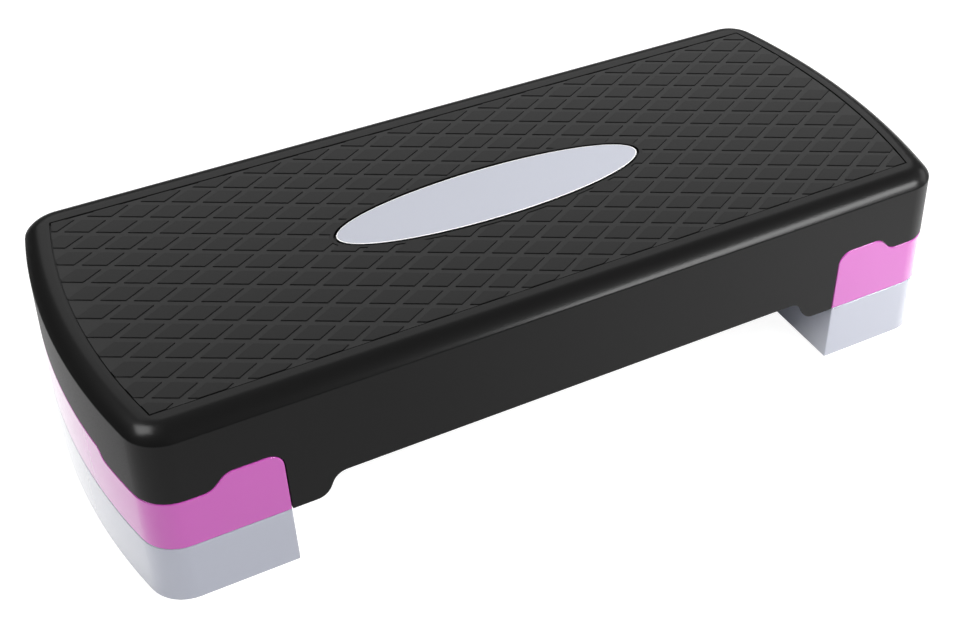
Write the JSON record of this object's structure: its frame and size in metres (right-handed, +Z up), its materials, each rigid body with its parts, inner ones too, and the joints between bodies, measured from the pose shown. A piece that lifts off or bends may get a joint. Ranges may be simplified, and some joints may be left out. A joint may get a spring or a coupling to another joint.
{
  "type": "aerobic step",
  "caption": "Low aerobic step with a black tiled deck, an oval badge, pink end blocks and pull-off grey risers on rubber feet.",
  "frame": {"origin": "on the floor under the middle of the step", "axes": "+X along the length, +Y from the front side to the back side, +Z up"},
  "size_m": [0.688, 0.29, 0.15],
  "materials": {
    "black_polypropylene": "satin moulded polypropylene, fine grain",
    "pink_polypropylene": "satin moulded polypropylene",
    "grey_polypropylene": "satin moulded polypropylene",
    "pale_badge_plastic": "smooth silk plate, bare",
    "black_rubber": "matt moulded rubber"
  },
  "bodies": {
    "root": {"deck": "black_polypropylene", "badge_plate": "pale_badge_plastic"},
    "left_block_body": {"left_block": "pink_polypropylene", "left_block_foot_1": "black_rubber", "left_block_foot_2": "black_rubber", "left_block_foot_3": "black_rubber", "left_block_foot_4": "black_rubber"},
    "right_block_body": {"right_block": "pink_polypropylene", "right_block_foot_1": "black_rubber", "right_block_foot_2": "black_rubber", "right_block_foot_3": "black_rubber", "right_block_foot_4": "black_rubber"},
    "left_riser_body": {"left_riser": "grey_polypropylene", "left_riser_foot_1": "black_rubber", "left_riser_foot_2": "black_rubber", "left_riser_foot_3": "black_rubber", "left_riser_foot_4": "black_rubber"},
    "right_riser_body": {"right_riser": "grey_polypropylene", "right_riser_foot_1": "black_rubber", "right_riser_foot_2": "black_rubber", "right_riser_foot_3": "black_rubber", "right_riser_foot_4": "black_rubber"}
  },
  "joints": [
    {"name": "left_block_pull", "type": "slide", "parent": "root", "child": "left_block_body", "axis": [0, 0, -1], "range_m": [0, 0.08]},
    {"name": "right_block_pull", "type": "slide", "parent": "root", "child": "right_block_body", "axis": [0, 0, -1], "range_m": [0, 0.08]},
    {"name": "left_riser_pull", "type": "slide", "parent": "left_block_body", "child": "left_riser_body", "axis": [0, 0, -1], "range_m": [0, 0.04]},
    {"name": "right_riser_pull", "type": "slide", "parent": "right_block_body", "child": "right_riser_body", "axis": [0, 0, -1], "range_m": [0, 0.04]}
  ]
}
